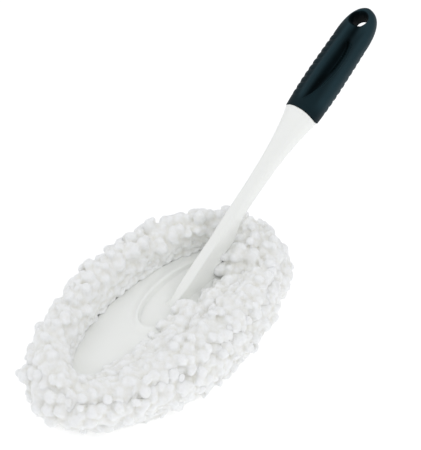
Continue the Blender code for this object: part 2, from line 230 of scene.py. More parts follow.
def chenille():
    # Microfibre chenille: soft white tufts of cut fibre round a core yarn, a bright halo of fibre ends,
    #     cool at the tips, and painted shade that makes it darker and warmer in the hollows between the
    #     loops, where light bounces.
    settings = bpy.context.scene.brush_pile
    material, tree, place = start_material(
        "white_microfibre_chenille", settings.pile, 0.92, Sheen_Weight=0.30, Sheen_Roughness=0.45,
        Specular_IOR_Level=0.2, Subsurface_Weight=0.5, Subsurface_Radius=(0.003, 0.003, 0.003),
        Subsurface_Scale=1.0)
    # Painted shade: the darker, warmer root colour fills the hollows and the pile colour the tips, with
    # random patches.
    tip = add_node(tree, "ShaderNodeAttribute", attribute_name="tip").outputs["Fac"]
    patch = add_node(tree, "ShaderNodeTexNoise", {"Vector": place, "Scale": 1 / 0.006, "Detail": 2})
    reach = add_node(tree, "ShaderNodeMath", {0: tip, 1: patch.outputs[0]}, operation="ADD").outputs[0]
    share = add_node(tree, "ShaderNodeMapRange", {0: reach, 1: 0.55, 2: 1.35}).outputs[0]
    # Round tufts of fibre, 3 mm across, over the finer fibre ends, really 0.1 mm and drawn at 0.8 mm.
    tuft = add_node(tree, "ShaderNodeTexVoronoi", {"Vector": place, "Scale": 1 / 0.0030, "Smoothness": 0.4},
                    feature="SMOOTH_F1").outputs[0]
    fibre = add_node(tree, "ShaderNodeTexNoise", {"Vector": place, "Scale": 1 / 0.0008, "Detail": 3})
    height = add_node(tree, "ShaderNodeMath", {0: tuft, 1: tuft}, operation="MULTIPLY").outputs[0]
    height = add_node(tree, "ShaderNodeMath", {0: height, 1: -1.0}, operation="MULTIPLY").outputs[0]
    height = add_node(tree, "ShaderNodeMath", {0: fibre.outputs[0], 1: 0.22, 2: height},
                      operation="MULTIPLY_ADD").outputs[0]
    return end_material(material, settings.root, settings.pile, share, height, 0.0010, 0.45)


def base_cloth():
    # Warp-knitted polyester cloth: upright wales crossed by courses, dull and slightly hairy.
    colour = bpy.context.scene.brush_cover.cloth
    material, tree, place = start_material(
        "white_knitted_base_cloth", colour, 0.88, Sheen_Weight=0.2, Sheen_Roughness=0.5)
    # Wales and courses 1.2 mm apart: a wave's bands repeat every 2 pi / 20 of its scaled length.
    bands = [add_node(tree, "ShaderNodeTexWave", {"Vector": place, "Scale": 0.314 / 0.0012, "Distortion": 1.2,
                                                  "Detail": 1, "Detail Scale": 2},
                      bands_direction=way).outputs["Fac"] for way in ("X", "Y", "Z")]
    knit = add_node(tree, "ShaderNodeMath", dict(enumerate(bands)), operation="MULTIPLY_ADD").outputs[0]
    return end_material(material, linear("#D3D3CD"), colour, knit, knit, 0.0003, 0.6)


def elastic_web():
    # Woven rubber-core elastic: fine cords 0.9 mm apart running round the opening, with a faint sheen.
    material, tree, place = start_material("woven_white_elastic", linear("#E4E4DF"), 0.7, Sheen_Weight=0.3)
    cords = add_node(tree, "ShaderNodeTexWave", {"Vector": place, "Scale": 0.314 / 0.0009, "Distortion": 0.3},
                     bands_direction="Z").outputs["Fac"]
    return end_material(material, linear("#C9C9C2"), linear("#EEEEEA"), cords, cords, 0.0002, 0.6)


def eva_foam():
    # Closed-cell EVA foam: grey, dull, with a skin of burst cells that reads as fine pits.
    colour = bpy.context.scene.brush_cover.foam
    material, tree, place = start_material("grey_closed_cell_eva_foam", colour, 0.85)
    cells = add_node(tree, "ShaderNodeTexVoronoi", {"Vector": place, "Scale": 1 / 0.0011})
    cloud = add_node(tree, "ShaderNodeTexNoise", {"Vector": place, "Scale": 60, "Detail": 3})
    return end_material(material, colour, linear("#8A8C8E"), cloud.outputs[0], cells.outputs[0], 0.0003, 0.6)


def zinc_steel():
    # Zinc-plated steel: bright bluish metal with a fine tumbled finish.
    colour = linear("#B9BDC0")
    material, tree, place = start_material("zinc_plated_steel", colour, 0.34, Metallic=1)
    tumble = add_node(tree, "ShaderNodeTexNoise",
                      {"Vector": place, "Scale": 1 / 0.0006, "Detail": 3}).outputs[0]
    gloss = add_node(tree, "ShaderNodeMapRange", {0: tumble, 3: 0.24, 4: 0.46}).outputs[0]
    return end_material(material, colour, linear("#CDCDC6"), tumble, tumble, 0.00003, 0.4, Roughness=gloss)


def floor_paper():
    # Matt studio paper: even, pale, with the faintest tooth.
    material, tree, place = start_material(
        "matt_studio_paper", bpy.context.scene.brush_stage.floor, 0.95, Specular_IOR_Level=0.1,
        Emission_Color=(1, 1, 1, 1), Emission_Strength=0.24)
    tooth = add_node(tree, "ShaderNodeTexNoise", {"Vector": place, "Scale": 1 / 0.002, "Detail": 2})
    bump = add_node(tree, "ShaderNodeBump",
                    {"Height": tooth.outputs[0], "Distance": 0.0001, "Strength": 0.15})
    feed(tree, tree.nodes["Principled BSDF"], {"Normal": bump.outputs[0]})
    return material


def dress(obj, material, body, nodes):
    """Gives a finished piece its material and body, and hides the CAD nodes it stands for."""
    if not any(held is material for held in obj.data.materials):
        obj.data.materials.clear()
        obj.data.materials.append(material)
    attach(obj, body)
    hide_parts(*nodes)
    return obj


def mesh_object(name, points, faces, smooth=True):
    """An object in the scene from points and faces, with its place in its mesh."""
    data = bpy.data.meshes.new(name)
    data.from_pydata([tuple(map(float, p)) for p in points], [], faces)
    data.validate()
    if smooth:
        data.shade_smooth()
    obj = bpy.data.objects.new(name, data)
    bpy.context.scene.collection.objects.link(obj)
    return obj


def skin(rows, looped=False):
    """Points and faces of a skin over rows of points. A row of one point is a pole."""
    points, faces, starts = [], [], []
    for row in rows:
        starts.append(len(points))
        points.extend(row)
    pairs = list(zip(range(len(rows)), range(1, len(rows))))
    if looped:
        pairs.append((len(rows) - 1, 0))
    for one, two in pairs:
        a, b, m, n = starts[one], starts[two], len(rows[one]), len(rows[two])
        count = max(m, n)
        for i in range(count):
            j = (i + 1) % count
            if m == 1:
                faces.append((a, b + j, b + i))
            elif n == 1:
                faces.append((a + i, a + j, b))
            else:
                faces.append((a + i, a + j, b + j, b + i))
    if not looped:
        for row, at, turn in ((rows[0], starts[0], -1), (rows[-1], starts[-1], 1)):
            if len(row) > 1:
                faces.append(tuple(at + i for i in range(len(row)))[::turn])
    return points, faces


def join_skins(*skins):
    """Several skins' points and faces in one."""
    points, faces = [], []
    for more, sides in skins:
        faces += [tuple(len(points) + i for i in side) for side in sides]
        points += list(more)
    return points, faces


def face_outwards(obj):
    """Turns all faces the same way, so that the lowest one looks down."""
    mesh = bmesh.new()
    mesh.from_mesh(obj.data)
    bmesh.ops.recalc_face_normals(mesh, faces=mesh.faces)
    if min(mesh.faces, key=lambda face: face.calc_center_median().z).normal.z > 0:
        bmesh.ops.reverse_faces(mesh, faces=mesh.faces)
    mesh.to_mesh(obj.data)
    mesh.free()


def settle(obj):
    """Turns the evaluated object into a plain mesh and takes its modifiers off."""
    graph = bpy.context.evaluated_depsgraph_get()
    graph.update()
    data = bpy.data.meshes.new_from_object(obj.evaluated_get(graph))
    obj.modifiers.clear()
    old, obj.data = obj.data, data
    bpy.data.meshes.remove(old)
    obj.data.name = obj.name
    return obj


def read_points(obj):
    found = np.empty(len(obj.data.vertices) * 3)
    obj.data.vertices.foreach_get("co", found)
    return found.reshape(-1, 3)


def write_points(obj, points):
    obj.data.vertices.foreach_set("co", np.asarray(points, dtype=np.float64).ravel())
    obj.data.update()


def smooth_step(low, high, value):
    share = np.clip((np.asarray(value, dtype=float) - low) / (high - low), 0, 1)
    return share * share * (3 - 2 * share)


def table(value, places, numbers):
    """A smooth curve through a table of numbers."""
    places, numbers = np.asarray(places, float), np.asarray(numbers, float)
    slopes = np.gradient(numbers, places)
    value = np.clip(value, places[0], places[-1])
    at = np.clip(np.searchsorted(places, value) - 1, 0, len(places) - 2)
    width = places[at + 1] - places[at]
    t = (value - places[at]) / width
    return ((2 * t**3 - 3 * t**2 + 1) * numbers[at] + (t**3 - 2 * t**2 + t) * width * slopes[at]
            + (3 * t**2 - 2 * t**3) * numbers[at + 1] + (t**3 - t**2) * width * slopes[at + 1])


def full_turn(count, start=0.0):
    """Even angles round a ring. Start is a share of one step."""
    return (np.arange(count) + start) * 2 * math.pi / count


def oval(offset, height, angles):
    """Points round the plate's outline, moved outwards. Offset and height may differ from point to point."""
    return np.stack([(PLATE_A + offset) * np.cos(angles), (PLATE_B + offset) * np.sin(angles),
                     np.broadcast_to(height, angles.shape)], axis=1)


def section(distance, width, depth, squareness, count):
    """A rounded section across the handle. Distance may differ from point to point."""
    angles = full_turn(count, 0.5)
    across = np.sign(np.cos(angles)) * np.abs(np.cos(angles)) ** (2 / squareness) * width / 2
    above = np.sign(np.sin(angles)) * np.abs(np.sin(angles)) ** (2 / squareness) * depth / 2
    distance = np.broadcast_to(distance, angles.shape)
    return (GRIP_START + np.outer(distance - STEM_LENGTH, ALONG) + np.outer(across, SIDEWAYS)
            + np.outer(above, ABOVE))


def junction_arch(count):
    """How much further up the plastic reaches at the handle's top and underside, where the sleeve starts."""
    angles = full_turn(count, 0.5)
    return 0.0024 * np.sin(angles) ** 2


# Handle: distance up from the scoop's floor, width, depth, squareness. Its tang inside the sleeve: distance
# up from the sleeve's mouth, width, depth
STEM_SECTIONS = np.array((
    (0.038, 0.0080, 0.0080, 3.0), (0.070, 0.0115, 0.0142, 3.6), (0.100, 0.0130, 0.0152, 3.6),
    (0.126, 0.0135, 0.0158, 3.4), (0.153, 0.0158, 0.0175, 3.0), (0.175, 0.0200, 0.0200, 2.7),
    (0.195, 0.0270, 0.0235, 2.4), (STEM_LENGTH, 0.0332, 0.0264, 2.3)))
TANG_SECTIONS = ((0.0, 0.023, 0.0170), (0.020, 0.022, 0.0160), (TANG_LENGTH, 0.018, 0.0125))
# Ridge on the blade's upper edge: distance up the handle, height above the handle's middle
RIDGE = ((0.045, 0.0069), (0.062, 0.0063), (0.090, 0.0058), (0.122, 0.0050))
STEM_GRAIN, VALLEY_DEPTH = 0.00072, 0.0008


def blade_outline():
    """Side view of the foot: up the ridge from the toe, back under the stem and round the heel."""
    base = FLANGE_Z[0] + 0.001
    found = [(TOE_X, base), (TOE_X, SEAT_FLOOR_Z + 0.0012), (TOE_X + 0.006, SEAT_FLOOR_Z + 0.0054)]
    distances = np.linspace(RIDGE[0][0], RIDGE[-1][0], 12)
    rises = table(distances, *zip(*RIDGE))
    for distance, rise in zip(distances, rises):
        point = GRIP_START + ALONG * (distance - STEM_LENGTH) + ABOVE * rise
        found.append((point[0], point[2]))
    tail = GRIP_START + ALONG * (RIDGE[-1][0] - STEM_LENGTH) - ABOVE * 0.0050
    bend = tail[2] - (tail[0] - HEEL_X) * math.tan(TILT)
    for t in np.linspace(0, 1, 11):
        found.append(((1 - t) ** 2 * tail[0] + (1 - (1 - t) ** 2) * HEEL_X,
                      (1 - t) ** 2 * tail[2] + 2 * t * (1 - t) * bend
                      + t * t * (SEAT_FLOOR_Z + HEEL_HEIGHT)))
    return found + [(HEEL_X, base)]


def make_stem():
    count = 56
    rows = []
    for distance in np.linspace(STEM_SECTIONS[0, 0], STEM_LENGTH, 60):
        width, depth, square = (table(distance, STEM_SECTIONS[:, 0], STEM_SECTIONS[:, k]) for k in (1, 2, 3))
        share = smooth_step(0.17, STEM_LENGTH, distance)
        rows.append(section(distance + share * junction_arch(count), width, depth, square, count))
    for along, width, depth in TANG_SECTIONS:
        arch = junction_arch(count) if along == 0 else 0
        rows.append(section(STEM_LENGTH + along + arch, width, depth, 2.6, count))
    blade = [[(x, y, z) for x, z in blade_outline()] for y in (-BLADE_WIDTH / 2, BLADE_WIDTH / 2)]
    flange = [[(FLANGE_X + FLANGE_A * math.cos(t), FLANGE_B * math.sin(t), z) for t in full_turn(64)]
              for z in FLANGE_Z]
    obj = mesh_object("moulded_handle_stem", *join_skins(skin(rows), skin(blade), skin(flange)))
    face_outwards(obj)
    remesh = obj.modifiers.new("join", "REMESH")
    remesh.mode, remesh.voxel_size, remesh.use_smooth_shade = "VOXEL", STEM_GRAIN, True
    smooth = obj.modifiers.new("soften", "SMOOTH")
    smooth.factor, smooth.iterations = 0.5, 6
    settle(obj)
    spots = read_points(obj)
    x, y, z = spots.T
    # The blade narrows to its toe and flares where it meets the floor of the scoop.
    on_blade = (z > SEAT_FLOOR_Z - 0.001) & (x < HEEL_X + 0.004)
    narrow = 0.62 + 0.38 * smooth_step(TOE_X - 0.002, TOE_X + 0.024, x)
    flare = 1 + 0.34 * np.exp(-np.clip(z - SEAT_FLOOR_Z, 0, 1) / 0.0030)
    # A shallow valley runs down the top face and on up the neck.
    lower = (x - GRIP_START[0]) * ALONG[0] + (z - GRIP_START[2]) * ALONG[2] + STEM_LENGTH
    above = (x - GRIP_START[0]) * ABOVE[0] + (z - GRIP_START[2]) * ABOVE[2]
    half = table(lower, STEM_SECTIONS[:, 0], STEM_SECTIONS[:, 1]) / 2
    valley = np.exp(-(y / (half * 0.55)) ** 2) * smooth_step(0.002, 0.0045, above)
    valley *= smooth_step(0.050, 0.080, lower) * (1 - smooth_step(0.175, 0.200, lower))
    spots[:, 1] = np.where(on_blade, y * narrow * flare, y)
    spots -= np.outer(valley * VALLEY_DEPTH, ABOVE)
    write_points(obj, spots)
    return obj


# Grip features: distance up the sleeve in metres against the angle round it, in degrees. 90 is the top,
# 0 the left side seen from the head's nose, and 180 the right side.
RECESS_RIGHT = ((0.008, 0.010, 0.0245, 0.037, 0.0527, 0.0648, 0.070, 0.075, 0.080),
                (84, 87, 108, 120, 128, 128.4, 126, 123, 118))
RECESS_LEFT = ((0.008, 0.020, 0.040, 0.060, 0.080), (83, 81, 81, 83, 88))
INNER_LINE = ((0.040, 0.0465, 0.0584, 0.0708, 0.075, 0.0785), (107, 111, 115, 112, 108, 97))


def bell(value, centre, width):
    return np.exp(-((value - centre) / width) ** 2)


def grip_relief(along, angle):
    """Height of the sleeve's moulded relief, by distance up it and angle round it."""
    settings = bpy.context.scene.brush_handle
    degrees = np.degrees(angle)
    turn = (degrees + 180) % 360 - 180
    # Finger ribs run from the left shoulder, under the grip, to the right side.
    slant = along + 0.0016 * np.sin(angle * 2) - 0.010 * (turn - 50) / 180 * (turn > 0)
    wave = np.abs(np.sin(math.pi * slant / settings.rib_pitch)) ** 0.7
    window = smooth_step(0.009, 0.015, along) * (1 - smooth_step(0.076, 0.084, along))
    around = (1 - smooth_step(60, 74, turn)) * smooth_step(-176, -158, turn)
    height = settings.rib_height * (wave - 0.45) * window * around
    # The ribs stand in a slightly sunk panel with a step along its upper edge.
    height -= 0.0003 * window * around
    left = table(along, *RECESS_LEFT)
    right = table(along, *RECESS_RIGHT)
    inner = table(along, *INNER_LINE)
    span = smooth_step(0.008, 0.022, along) * (1 - smooth_step(0.074, 0.084, along))
    share = np.clip((degrees - left) / np.maximum(right - left, 1), 0, 1)
    bowl = np.where((share > 0) & (share < 1), np.sin(math.pi * share) ** 0.75 * (0.75 + 0.5 * share), 0)
    height -= settings.recess_depth * bowl * span
    # Raised lines: one along the recess's right edge, one inside it, with hatching between.
    shown = smooth_step(0.009, 0.016, along) * (1 - smooth_step(0.073, 0.080, along))
    height += 0.0014 * bell(degrees, right + 1.0, 2.2) * shown
    shown = smooth_step(0.040, 0.050, along) * (1 - smooth_step(0.0775, 0.0795, along))
    height += 0.0014 * bell(degrees, inner, 2.0) * shown
    between = smooth_step(0, 2, degrees - inner) * (1 - smooth_step(-2, 0, degrees - right))
    height += 0.0003 * between * shown * np.sin(2 * math.pi * (along + degrees * 0.0001) / 0.0024)
    # A valley falls from the hanging hole into the recess, and the crest left of it stays proud.
    top = smooth_step(0.070, 0.088, along) * (1 - smooth_step(0.104, 0.110, along))
    height -= 0.0026 * bell(degrees, 103, 15) * top
    height += 0.0006 * bell(degrees, 76, 7) * smooth_step(0.010, 0.03, along) * (
        1 - smooth_step(0.070, 0.085, along))
    return height


def from_hole(points):
    """Each point's height along the hole's axis, its distance from it, and how squarely it lies towards the
    left shoulder, where the hole's upper lip spreads furthest."""
    away = points - HOLE_CENTRE
    height = away @ HOLE_AXIS
    radial = np.linalg.norm(away - np.outer(height, HOLE_AXIS), axis=1)
    left = np.clip((away @ (0.8 * SIDEWAYS - 0.6 * ALONG)) / np.maximum(radial, 1e-6), 0, 1)
    return height, radial, left


def paint_grip_light(obj):
    """Marks painted light on the sleeve: 0, painted shade, in the hole and the recess, up to 1, painted
    highlight, on the proud outer skin of the lit crest, right flank and tip."""
    spots = read_points(obj)
    height, radial, left = from_hole(spots)
    edge = HOLE_RADIUS + HOLE_LIP * np.where(height > 0, 0.1 + 1.5 * left, 0.3)
    outside = smooth_step(-0.0006, 0.0008, radial - edge)
    away = spots - GRIP_START
    along = away @ ALONG
    angle = np.arctan2((away @ ABOVE) / HALF_DEPTH, away[:, 1] / HALF_WIDTH) % (2 * math.pi)
    turn = np.degrees(angle)
    proud = smooth_step(-0.0032, 0.0003, grip_relief(along, angle))  # from the recess's floor to the skin
    # Painted highlight: the crest left of the recess, the right flank and the tip, where the light falls, are
    # painted lighter.
    lit_side = np.maximum(bell(turn, 74, 9), smooth_step(122, 148, turn) * (1 - smooth_step(200, 230, turn)))
    lit_side = np.maximum(lit_side * smooth_step(0.004, 0.020, along), smooth_step(0.082, 0.102, along))
    obj.data.attributes.new("proud", "FLOAT", "POINT").data.foreach_set(
        "value", outside * proud * (0.50 + 0.50 * lit_side))


def make_grip():
    count = 200
    angles, arch = full_turn(count, 0.5), junction_arch(count)
    start, body = STEM_LENGTH + GAP, GRIP_LENGTH - NOSE_LENGTH
    # Distance up the sleeve, width, depth
    places, widths, depths = zip((0.0, 0.0342, 0.0272), (0.012, 0.0356, 0.0280), (0.030, 0.0366, 0.0284),
                                 (0.055, 0.0360, 0.0276), (body, 0.0348, 0.0256))
    rows = [section(start + along + (arch if along == 0 else 0), width + 2 * GAP, depth + 2 * GAP, 2.6, count)
            for along, width, depth in reversed(TANG_SECTIONS)]
    rows += [section(start + along + arch, widths[0] - inset, depths[0] - inset, 2.3, count)
             for inset, along in ((0.0006, 0.0), (0.0001, 0.0002), (0.0, 0.0006))]
    nose = body + NOSE_LENGTH * np.sin(np.linspace(0, math.pi / 2, 70))[1:-1]
    for along in (*np.linspace(0, body, 190)[1:], *nose):
        if along <= body:
            width, depth = table(along, places, widths), table(along, places, depths)
        else:
            fall = (1 - ((along - body) / NOSE_LENGTH) ** 2.5) ** (1 / 2.1)
            width, depth = widths[-1] * fall, depths[-1] * (0.25 + 0.75 * fall)
        shift = along + arch * (1 - smooth_step(0.0, 0.010, along))
        ring = section(start + shift, width, depth, 2.3, count)
        normal = np.outer(np.cos(angles) * depth, SIDEWAYS) + np.outer(np.sin(angles) * width, ABOVE)
        normal /= np.linalg.norm(normal, axis=1)[:, None]
        rise = grip_relief(np.full(count, along), angles) * (1 - smooth_step(0.106, 0.112, along))
        rows.append(ring + normal * rise[:, None])
    rows.append((GRIP_START + ALONG * (GRIP_LENGTH + GAP))[None, :])
    points, faces = skin(rows)
    points = np.array(points)
    # Rounded lips round the hanging hole, wider on top. The sleeve's inside, its first rows, keeps its shape.
    height, radial, left = from_hole(points)
    lip = np.where(height > 0, HOLE_LIP * (0.7 + 1.5 * left), HOLE_LIP)
    near = np.clip(1 - (radial - HOLE_RADIUS) / lip, 0, 1)
    near[:len(TANG_SECTIONS) * count] = 0
    drop = lip * (1 - np.sqrt(1 - near**2)) * np.sign(height)
    obj = mesh_object("grip_sleeve_with_ribs", points - np.outer(drop, HOLE_AXIS), faces)
    face_outwards(obj)
    drill = mesh_object("hole_drill", *skin([
        [HOLE_CENTRE + HOLE_AXIS * z + HOLE_RADIUS * (math.cos(t) * SIDEWAYS
                                                      + math.sin(t) * np.cross(HOLE_AXIS, SIDEWAYS))
         for t in full_turn(72)] for z in (-0.025, 0.025)]))
    face_outwards(drill)
    cut = obj.modifiers.new("hole", "BOOLEAN")
    cut.operation, cut.solver, cut.object = "DIFFERENCE", "EXACT", drill
    settle(obj)
    bpy.data.objects.remove(drill)
    obj.data.shade_smooth()
    obj.data.set_sharp_from_angle(angle=math.radians(50))
    paint_grip_light(obj)
    return obj


def plate_height(x, y):
    """Top of the plate: a crown with an oval scoop round the foot of the handle."""
    share = (x / PLATE_A) ** 2 + (y / PLATE_B) ** 2
    crown = PLATE_EDGE_Z + PLATE_CROWN * (1 - share)
    dx, dy = x - SEAT_X, y
    level = np.sqrt((dx / SEAT_A) ** 2 + (dy / SEAT_B) ** 2)
    reach = np.hypot(dx, dy)
    out = np.where(level > 1e-6, reach * (1 - 1 / np.maximum(level, 1e-6)), -SEAT_B)
    wall = smooth_step(-0.0006, 0.0019, out)
    # The scoop's floor rises slowly to the wall, and a soft roll goes round its front.
    dish = 0.0012 * np.clip(level, 0, 1) ** 3
    front = 1 - smooth_step(-0.010, 0.040, dx)
    roll = 0.0010 * bell(out, 0.0040, 0.0026) * (0.35 + 0.65 * front)
    trough = -0.0007 * bell(out, 0.0105, 0.0034) * (0.2 + 0.8 * front)
    away = np.hypot(np.clip(np.abs(x - (TOE_X + HEEL_X) / 2) - (HEEL_X - TOE_X) / 2, 0, 1),
                    np.clip(np.abs(y) - BLADE_WIDTH / 2, 0, 1))
    fillet = 0.0020 * np.exp(-away / 0.0018) * (1 - wall)
    return (SEAT_FLOOR_Z + dish) * (1 - wall) + crown * wall + roll + trough + fillet


def make_plate():
    count = 288
    angles = full_turn(count)

    def ring(share, lower=0.0):
        x, y = PLATE_A * share * np.cos(angles), PLATE_B * share * np.sin(angles)
        return np.stack([x, y, plate_height(x, y) - lower], axis=1)

    rows = [np.array([[0, 0, plate_height(np.array(0.0), np.array(0.0))]])]
    rows += [ring(share) for share in np.linspace(0, 0.982, 112)[1:]]
    rows += [ring(0.991, 0.0002), ring(0.997, 0.0006)]
    # Down the rim, into the groove, round the lower lip and up the inside of the wall
    rows += [oval(offset, height, angles) for offset, height in (
        (0.0, PLATE_EDGE_Z - 0.0010), (0.0, GROOVE_TOP_Z + 0.0006), (-0.0004, GROOVE_TOP_Z),
        (-GROOVE_DEPTH, GROOVE_TOP_Z), (-GROOVE_DEPTH, PLATE_BOTTOM_Z + 0.0016),
        (-0.0012, PLATE_BOTTOM_Z + 0.0012), (-0.0012, PLATE_BOTTOM_Z + 0.0002), (-0.0014, PLATE_BOTTOM_Z),
        (-GROOVE_DEPTH - PLATE_WALL, PLATE_BOTTOM_Z), (-GROOVE_DEPTH - PLATE_WALL, 0.0366))]
    rows += [ring(share, PLATE_WALL) for share in np.linspace(0.92, 0, 40)[:-1]]
    rows.append(rows[0] - np.array([[0, 0, PLATE_WALL]]))
    parts = [skin(rows)]
    for x, y in BOSS_PLACES:
        parts.append(skin([[(x + BOSS_RADIUS * math.cos(t), y + BOSS_RADIUS * math.sin(t), z)
                            for t in full_turn(24)] for z in (FLANGE_Z[1] - 0.0026, 0.0372)]))
    for x in RIB_PLACES:
        reach = PLATE_B * math.sqrt(1 - (x / PLATE_A) ** 2) - 0.008
        ys = np.linspace(-reach, reach, 25)
        tops = plate_height(np.full(25, x), ys) - PLATE_WALL / 2
        side = [*zip(ys, tops), *((y, RIB_BOTTOM_Z) for y in ys[::-1])]
        parts.append(skin([[(x + dx, y, z) for y, z in side] for dx in (-0.001, 0.001)]))
    obj = mesh_object("crowned_head_plate", *join_skins(*parts))
    face_outwards(obj)
    obj.data.set_sharp_from_angle(angle=math.radians(40))
    return obj


def make_foam():
    """A die-cut pad whose edges have rolled over a little under the plate."""
    angles = full_turn(160)
    middle, half = (FOAM_Z[0] + FOAM_Z[1]) / 2, (FOAM_Z[1] - FOAM_Z[0]) / 2
    # Share of the pad's size, share of its half thickness
    top = [(0.97 * share, side) for share, side in (
        *((0.55 * i / 8, 1.0) for i in range(9)), (0.7, 1.0), (0.85, 0.99))]
    roll = [(0.97 + 0.03 * math.sin(t), math.cos(t)) for t in np.linspace(0.1, math.pi - 0.1, 9)]
    rows = []
    for share, side in (*top, *roll, *((share, -side) for share, side in reversed(top))):
        ring = oval(-FOAM_INSET, middle + half * side + 0.00012 * np.sin(angles * 9) * share, angles)
        ring[:, :2] *= share
        rows.append(ring)
    rows[0], rows[-1] = rows[0][:1] * [0, 0, 1], rows[-1][:1] * [0, 0, 1]
    obj = mesh_object("foam_pad_rolled_edge", *skin(rows))
    face_outwards(obj)
    return obj


def make_cloth():
    """The cover's base cloth: an oval bowl held tight by the pad, gathered towards the hem."""
    angles = full_turn(360)
    puckers = bpy.context.scene.brush_cover.puckers
    rows = [np.array([[0, 0, CLOTH_Z]])]
    for share in np.linspace(0, 1, 34)[1:]:
        ring = oval(0, CLOTH_Z, angles)
        ring[:, :2] *= share
        ring[:, 2] -= 0.00035 * np.sin(ring[:, 0] * 160) * np.sin(ring[:, 1] * 210) * (1 - share)
        rows.append(ring)
    for offset, height in ((0.0009, 0.0228), (0.0014, 0.0234), (0.0016, 0.0244), (0.0016, 0.0265),
                           (0.0016, 0.0290), (0.0016, 0.0315), (0.0016, 0.0338), (0.0016, 0.0355),
                           (0.0016, 0.0366)):
        gather = smooth_step(0.027, 0.036, height) * 0.00035
        ring = oval(offset, height, angles)
        outwards = ring[:, :2] / np.linalg.norm(ring[:, :2], axis=1)[:, None]
        ring[:, :2] += outwards * (gather * np.sin(angles * puckers / 2))[:, None]
        rows.append(ring)
    points, faces = skin(rows)
    obj = mesh_object("cover_base_cloth", points, faces[:-1])  # the bowl stays open
    face_outwards(obj)
    wall = obj.modifiers.new("cloth", "SOLIDIFY")
    wall.thickness, wall.offset = CLOTH_THICKNESS, 0
    return settle(obj)


def make_hem():
    """The gathered tunnel of cloth round the opening, drawn into the plate's groove by its elastic."""
    angles = full_turn(1056)
    puckers = bpy.context.scene.brush_cover.puckers
    wave = np.sin(angles * puckers + 0.9 * np.sin(angles * 7)) * (0.75 + 0.25 * np.sin(angles * 11))
    rows = []
    for turn in full_turn(18):
        across, up = math.cos(turn), math.sin(turn)
        swell = 1 + 0.16 * wave * (0.4 + 0.6 * abs(up))
        rows.append(oval(-0.00155 + 0.00195 * across * swell, 0.03455 + 0.0020 * up * swell, angles))
    obj = mesh_object("gathered_hem", *skin(rows, looped=True))
    face_outwards(obj)
    return obj


def start_tree(name, sockets):
    """A Geometry Nodes tree with named inputs. Returns it and its inputs' sockets."""
    tree = bpy.data.node_groups.new(name, "GeometryNodeTree")
    for name, kind, default in sockets:
        made = tree.interface.new_socket(name, in_out="INPUT", socket_type="NodeSocket" + kind)
        if default is not None:
            made.default_value = default
    tree.interface.new_socket("Geometry", in_out="OUTPUT", socket_type="NodeSocketGeometry")
    return tree, add_node(tree, "NodeGroupInput").outputs


def end_tree(tree, geometry, finish):
    """Makes the geometry real, smooth and finished, and sends it out."""
    real = add_node(tree, "GeometryNodeRealizeInstances", {0: geometry}).outputs[0]
    soft = add_node(tree, "GeometryNodeSetShadeSmooth", {"Geometry": real}).outputs[0]
    done = add_node(tree, "GeometryNodeSetMaterial", {"Geometry": soft, "Material": finish}).outputs[0]
    add_node(tree, "NodeGroupOutput", {0: done})
    return tree


